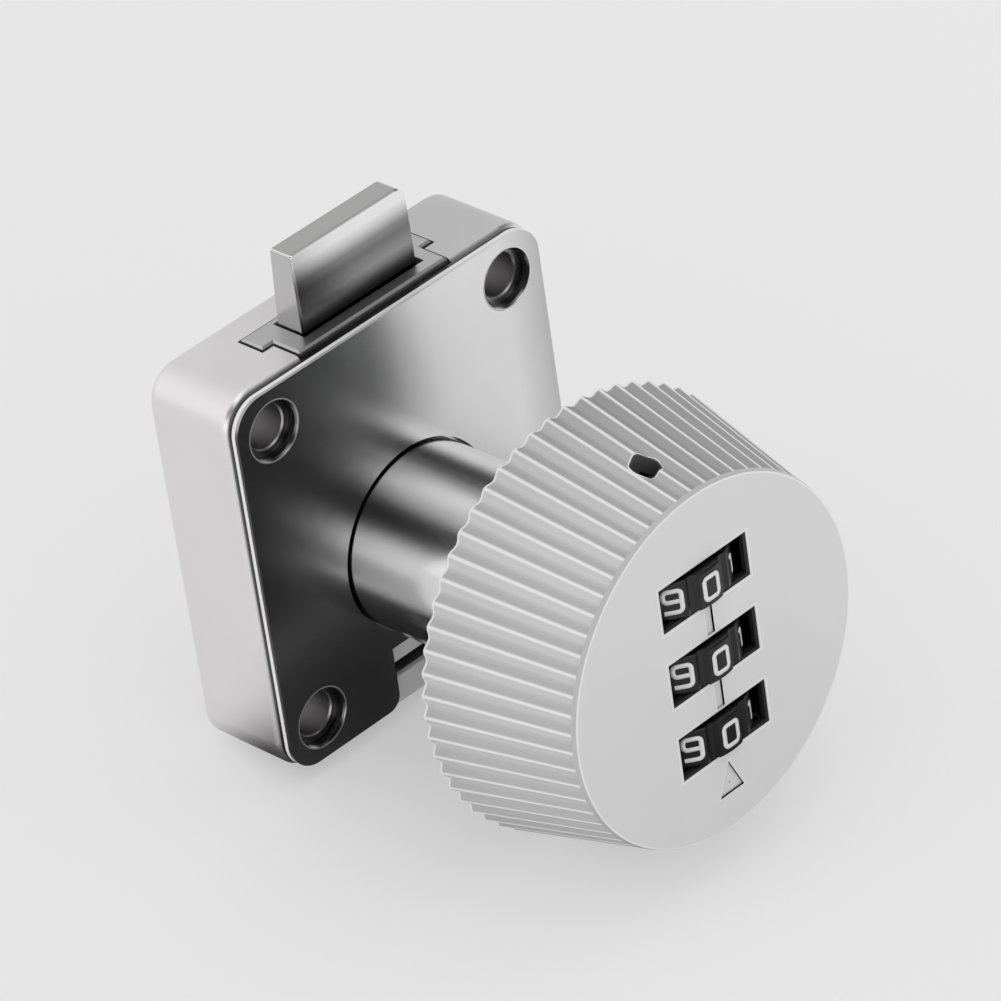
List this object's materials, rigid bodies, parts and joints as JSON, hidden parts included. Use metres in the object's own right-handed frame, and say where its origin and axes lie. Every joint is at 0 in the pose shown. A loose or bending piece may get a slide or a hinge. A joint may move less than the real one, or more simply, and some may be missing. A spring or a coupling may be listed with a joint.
{
  "type": "combination drawer lock",
  "caption": "Combination locker lock: a square rim case with a sliding bolt, turned through a barrel by a ridged knob with three number wheels.",
  "frame": {"origin": "on the barrel's axis, in the front face of the cover plate, which lies against the back of the door or drawer front", "axes": "+Z is the way the bolt shoots, -Y points outwards to the knob, +X is to the right as seen from the knob"},
  "size_m": [0.044, 0.0507, 0.0556],
  "materials": {
    "case": "nickel-plated satin",
    "cover_plate": "mirror polished",
    "bolt_guide": "satin",
    "barrel": "polished",
    "bolt_leaf_spring": "spring steel",
    "bolt": "polished",
    "knob_shell": "satin light grey",
    "wheel_chassis": "moulded dark grey",
    "chassis_screws": "zinc plated",
    "drive_shaft": "turned steel",
    "shaft_screw": "zinc plated",
    "wheel_axle": "ground steel",
    "wheel_detent_spring": "spring steel",
    "reset_spring": "spring wire",
    "locking_bar_springs": "spring wire",
    "locking_bar": "stamped steel",
    "reset_plunger": "turned brass",
    "number_wheel_1": "black with white numerals",
    "code_sleeve_1": "turned brass",
    "number_wheel_2": "black with white numerals",
    "code_sleeve_2": "turned brass",
    "number_wheel_3": "black with white numerals",
    "code_sleeve_3": "turned brass"
  },
  "bodies": {
    "case": {"case": "case", "cover_plate": "cover_plate", "bolt_guide": "bolt_guide", "barrel": "barrel", "bolt_leaf_spring": "bolt_leaf_spring"},
    "bolt": {"bolt": "bolt"},
    "knob": {"knob_shell": "knob_shell", "wheel_chassis": "wheel_chassis", "chassis_screws": "chassis_screws", "drive_shaft": "drive_shaft", "shaft_screw": "shaft_screw", "wheel_axle": "wheel_axle", "wheel_detent_spring": "wheel_detent_spring", "reset_spring": "reset_spring", "locking_bar_springs": "locking_bar_springs"},
    "locking_bar": {"locking_bar": "locking_bar"},
    "reset_plunger": {"reset_plunger": "reset_plunger"},
    "wheel_1": {"number_wheel_1": "number_wheel_1"},
    "sleeve_1": {"code_sleeve_1": "code_sleeve_1"},
    "wheel_2": {"number_wheel_2": "number_wheel_2"},
    "sleeve_2": {"code_sleeve_2": "code_sleeve_2"},
    "wheel_3": {"number_wheel_3": "number_wheel_3"},
    "sleeve_3": {"code_sleeve_3": "code_sleeve_3"}
  },
  "joints": [
    {"name": "knob_turn", "type": "hinge", "parent": "case", "child": "knob", "pos_m": [0, 0, 0], "axis": [0, 1, 0], "range_deg": [0, 90]},
    {"name": "bolt_throw", "type": "slide", "parent": "case", "child": "bolt", "axis": [0, 0, 1], "range_m": [-0.00877, 0]},
    {"name": "locking_bar_lift", "type": "slide", "parent": "knob", "child": "locking_bar", "axis": [0, -1, 0], "range_m": [0, 0.0015], "deforming": ["locking_bar_springs"]},
    {"name": "reset_press", "type": "slide", "parent": "knob", "child": "reset_plunger", "axis": [0, 0, -1], "range_m": [0, 0.0014], "stiffness_N_per_m": 300, "springref_m": -0.0005, "deforming": ["reset_spring"]},
    {"name": "wheel_1_turn", "type": "hinge", "parent": "knob", "child": "wheel_1", "pos_m": [0, -0.0323, 0.0087], "axis": [0, 0, 1], "range_deg": [0, 360]},
    {"name": "sleeve_1_turn", "type": "hinge", "parent": "reset_plunger", "child": "sleeve_1", "pos_m": [0, -0.0323, 0.0087], "axis": [0, 0, 1], "range_deg": [0, 360]},
    {"name": "wheel_2_turn", "type": "hinge", "parent": "knob", "child": "wheel_2", "pos_m": [0, -0.0323, 0.0005], "axis": [0, 0, 1], "range_deg": [0, 360]},
    {"name": "sleeve_2_turn", "type": "hinge", "parent": "reset_plunger", "child": "sleeve_2", "pos_m": [0, -0.0323, 0.0005], "axis": [0, 0, 1], "range_deg": [0, 360]},
    {"name": "wheel_3_turn", "type": "hinge", "parent": "knob", "child": "wheel_3", "pos_m": [0, -0.0323, -0.0077], "axis": [0, 0, 1], "range_deg": [0, 360]},
    {"name": "sleeve_3_turn", "type": "hinge", "parent": "reset_plunger", "child": "sleeve_3", "pos_m": [0, -0.0323, -0.0077], "axis": [0, 0, 1], "range_deg": [0, 360]}
  ],
  "couplings": [
    {"joint": "bolt_throw", "follows": "knob_turn", "m_per_rad": -0.0055819},
    {"joint": "locking_bar_lift", "follows": "knob_turn", "m_per_rad": 0.00095492},
    {"joint": "sleeve_1_turn", "follows": "wheel_1_turn", "ratio": 1},
    {"joint": "sleeve_2_turn", "follows": "wheel_2_turn", "ratio": 1},
    {"joint": "sleeve_3_turn", "follows": "wheel_3_turn", "ratio": 1}
  ]
}
